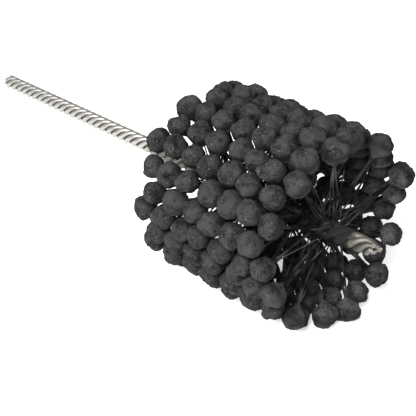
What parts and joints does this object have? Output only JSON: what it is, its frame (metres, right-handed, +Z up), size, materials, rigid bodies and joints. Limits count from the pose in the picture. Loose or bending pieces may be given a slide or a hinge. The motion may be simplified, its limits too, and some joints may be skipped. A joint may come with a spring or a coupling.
{
  "type": "flexible ball hone",
  "caption": "Flexible ball hone: a twisted-wire stem grips springy filament strands, each with an abrasive globule on both ends, in a cylindrical head.",
  "frame": {"origin": "on the stem's axis, in the plane of the ground butt of the shank", "axes": "+X along the stem from the butt to the tip, +Z up; the tool lies on its head with its axis level"},
  "size_m": [0.3175, 0.1061, 0.1037],
  "materials": {
    "stem_wire": "galvanised, drawn and twisted",
    "strand": "nylon filament coated in dark binder",
    "globule": "matte silicon carbide grit in binder"
  },
  "bodies": {
    "stem": {"stem_wire_1": "stem_wire", "stem_wire_2": "stem_wire", "stem_wire_3": "stem_wire", "stem_wire_4": "stem_wire"},
    "strands": {"strands_01": "strand", "strands_02": "strand", "strands_03": "strand", "strands_04": "strand", "strands_05": "strand", "strands_06": "strand", "strands_07": "strand", "strands_08": "strand", "strands_09": "strand", "strands_10": "strand", "strands_11": "strand", "strands_12": "strand"},
    "column_01": {"globules_01": "globule"},
    "column_02": {"globules_02": "globule"},
    "column_03": {"globules_03": "globule"},
    "column_04": {"globules_04": "globule"},
    "column_05": {"globules_05": "globule"},
    "column_06": {"globules_06": "globule"},
    "column_07": {"globules_07": "globule"},
    "column_08": {"globules_08": "globule"},
    "column_09": {"globules_09": "globule"},
    "column_10": {"globules_10": "globule"},
    "column_11": {"globules_11": "globule"},
    "column_12": {"globules_12": "globule"},
    "column_13": {"globules_13": "globule"},
    "column_14": {"globules_14": "globule"},
    "column_15": {"globules_15": "globule"},
    "column_16": {"globules_16": "globule"},
    "column_17": {"globules_17": "globule"},
    "column_18": {"globules_18": "globule"},
    "column_19": {"globules_19": "globule"},
    "column_20": {"globules_20": "globule"},
    "column_21": {"globules_21": "globule"},
    "column_22": {"globules_22": "globule"},
    "column_23": {"globules_23": "globule"},
    "column_24": {"globules_24": "globule"}
  },
  "joints": [
    {"name": "strand_trail", "type": "hinge", "parent": "stem", "child": "strands", "pos_m": [0.25, 0, 0], "axis": [1, 0, 0], "range_deg": [-15, 15], "stiffness_Nm_per_rad": 8},
    {"name": "column_01_lean", "type": "slide", "parent": "strands", "child": "column_01", "axis": [-0.9652, -0.2592, -0.0341], "range_m": [0, 0.0186], "stiffness_N_per_m": 210, "deforming": ["strands_01"]},
    {"name": "column_02_lean", "type": "slide", "parent": "strands", "child": "column_02", "axis": [-0.9652, -0.2415, -0.1], "range_m": [0, 0.0186], "stiffness_N_per_m": 210, "deforming": ["strands_02"]},
    {"name": "column_03_lean", "type": "slide", "parent": "strands", "child": "column_03", "axis": [-0.9652, -0.2074, -0.1591], "range_m": [0, 0.0186], "stiffness_N_per_m": 210, "deforming": ["strands_03"]},
    {"name": "column_04_lean", "type": "slide", "parent": "strands", "child": "column_04", "axis": [-0.9652, -0.1591, -0.2074], "range_m": [0, 0.0186], "stiffness_N_per_m": 210, "deforming": ["strands_04"]},
    {"name": "column_05_lean", "type": "slide", "parent": "strands", "child": "column_05", "axis": [-0.9652, -0.1, -0.2415], "range_m": [0, 0.0186], "stiffness_N_per_m": 210, "deforming": ["strands_05"]},
    {"name": "column_06_lean", "type": "slide", "parent": "strands", "child": "column_06", "axis": [-0.9652, -0.0341, -0.2592], "range_m": [0, 0.0186], "stiffness_N_per_m": 210, "deforming": ["strands_06"]},
    {"name": "column_07_lean", "type": "slide", "parent": "strands", "child": "column_07", "axis": [-0.9652, 0.0341, -0.2592], "range_m": [0, 0.0186], "stiffness_N_per_m": 210, "deforming": ["strands_07"]},
    {"name": "column_08_lean", "type": "slide", "parent": "strands", "child": "column_08", "axis": [-0.9652, 0.1, -0.2415], "range_m": [0, 0.0186], "stiffness_N_per_m": 210, "deforming": ["strands_08"]},
    {"name": "column_09_lean", "type": "slide", "parent": "strands", "child": "column_09", "axis": [-0.9652, 0.1591, -0.2074], "range_m": [0, 0.0186], "stiffness_N_per_m": 210, "deforming": ["strands_09"]},
    {"name": "column_10_lean", "type": "slide", "parent": "strands", "child": "column_10", "axis": [-0.9652, 0.2074, -0.1591], "range_m": [0, 0.0186], "stiffness_N_per_m": 210, "deforming": ["strands_10"]},
    {"name": "column_11_lean", "type": "slide", "parent": "strands", "child": "column_11", "axis": [-0.9652, 0.2415, -0.1], "range_m": [0, 0.0186], "stiffness_N_per_m": 210, "deforming": ["strands_11"]},
    {"name": "column_12_lean", "type": "slide", "parent": "strands", "child": "column_12", "axis": [-0.9652, 0.2592, -0.0341], "range_m": [0, 0.0186], "stiffness_N_per_m": 210, "deforming": ["strands_12"]},
    {"name": "column_13_lean", "type": "slide", "parent": "strands", "child": "column_13", "axis": [-0.9652, 0.2592, 0.0341], "range_m": [0, 0.0186], "stiffness_N_per_m": 210},
    {"name": "column_14_lean", "type": "slide", "parent": "strands", "child": "column_14", "axis": [-0.9652, 0.2415, 0.1], "range_m": [0, 0.0186], "stiffness_N_per_m": 210},
    {"name": "column_15_lean", "type": "slide", "parent": "strands", "child": "column_15", "axis": [-0.9652, 0.2074, 0.1591], "range_m": [0, 0.0186], "stiffness_N_per_m": 210},
    {"name": "column_16_lean", "type": "slide", "parent": "strands", "child": "column_16", "axis": [-0.9652, 0.1591, 0.2074], "range_m": [0, 0.0186], "stiffness_N_per_m": 210},
    {"name": "column_17_lean", "type": "slide", "parent": "strands", "child": "column_17", "axis": [-0.9652, 0.1, 0.2415], "range_m": [0, 0.0186], "stiffness_N_per_m": 210},
    {"name": "column_18_lean", "type": "slide", "parent": "strands", "child": "column_18", "axis": [-0.9652, 0.0341, 0.2592], "range_m": [0, 0.0186], "stiffness_N_per_m": 210},
    {"name": "column_19_lean", "type": "slide", "parent": "strands", "child": "column_19", "axis": [-0.9652, -0.0341, 0.2592], "range_m": [0, 0.0186], "stiffness_N_per_m": 210},
    {"name": "column_20_lean", "type": "slide", "parent": "strands", "child": "column_20", "axis": [-0.9652, -0.1, 0.2415], "range_m": [0, 0.0186], "stiffness_N_per_m": 210},
    {"name": "column_21_lean", "type": "slide", "parent": "strands", "child": "column_21", "axis": [-0.9652, -0.1591, 0.2074], "range_m": [0, 0.0186], "stiffness_N_per_m": 210},
    {"name": "column_22_lean", "type": "slide", "parent": "strands", "child": "column_22", "axis": [-0.9652, -0.2074, 0.1591], "range_m": [0, 0.0186], "stiffness_N_per_m": 210},
    {"name": "column_23_lean", "type": "slide", "parent": "strands", "child": "column_23", "axis": [-0.9652, -0.2415, 0.1], "range_m": [0, 0.0186], "stiffness_N_per_m": 210},
    {"name": "column_24_lean", "type": "slide", "parent": "strands", "child": "column_24", "axis": [-0.9652, -0.2592, 0.0341], "range_m": [0, 0.0186], "stiffness_N_per_m": 210}
  ],
  "couplings": [
    {"joint": "column_02_lean", "follows": "column_01_lean", "ratio": 1},
    {"joint": "column_03_lean", "follows": "column_01_lean", "ratio": 1},
    {"joint": "column_04_lean", "follows": "column_01_lean", "ratio": 1},
    {"joint": "column_05_lean", "follows": "column_01_lean", "ratio": 1},
    {"joint": "column_06_lean", "follows": "column_01_lean", "ratio": 1},
    {"joint": "column_07_lean", "follows": "column_01_lean", "ratio": 1},
    {"joint": "column_08_lean", "follows": "column_01_lean", "ratio": 1},
    {"joint": "column_09_lean", "follows": "column_01_lean", "ratio": 1},
    {"joint": "column_10_lean", "follows": "column_01_lean", "ratio": 1},
    {"joint": "column_11_lean", "follows": "column_01_lean", "ratio": 1},
    {"joint": "column_12_lean", "follows": "column_01_lean", "ratio": 1},
    {"joint": "column_13_lean", "follows": "column_01_lean", "ratio": 1},
    {"joint": "column_14_lean", "follows": "column_01_lean", "ratio": 1},
    {"joint": "column_15_lean", "follows": "column_01_lean", "ratio": 1},
    {"joint": "column_16_lean", "follows": "column_01_lean", "ratio": 1},
    {"joint": "column_17_lean", "follows": "column_01_lean", "ratio": 1},
    {"joint": "column_18_lean", "follows": "column_01_lean", "ratio": 1},
    {"joint": "column_19_lean", "follows": "column_01_lean", "ratio": 1},
    {"joint": "column_20_lean", "follows": "column_01_lean", "ratio": 1},
    {"joint": "column_21_lean", "follows": "column_01_lean", "ratio": 1},
    {"joint": "column_22_lean", "follows": "column_01_lean", "ratio": 1},
    {"joint": "column_23_lean", "follows": "column_01_lean", "ratio": 1},
    {"joint": "column_24_lean", "follows": "column_01_lean", "ratio": 1}
  ]
}
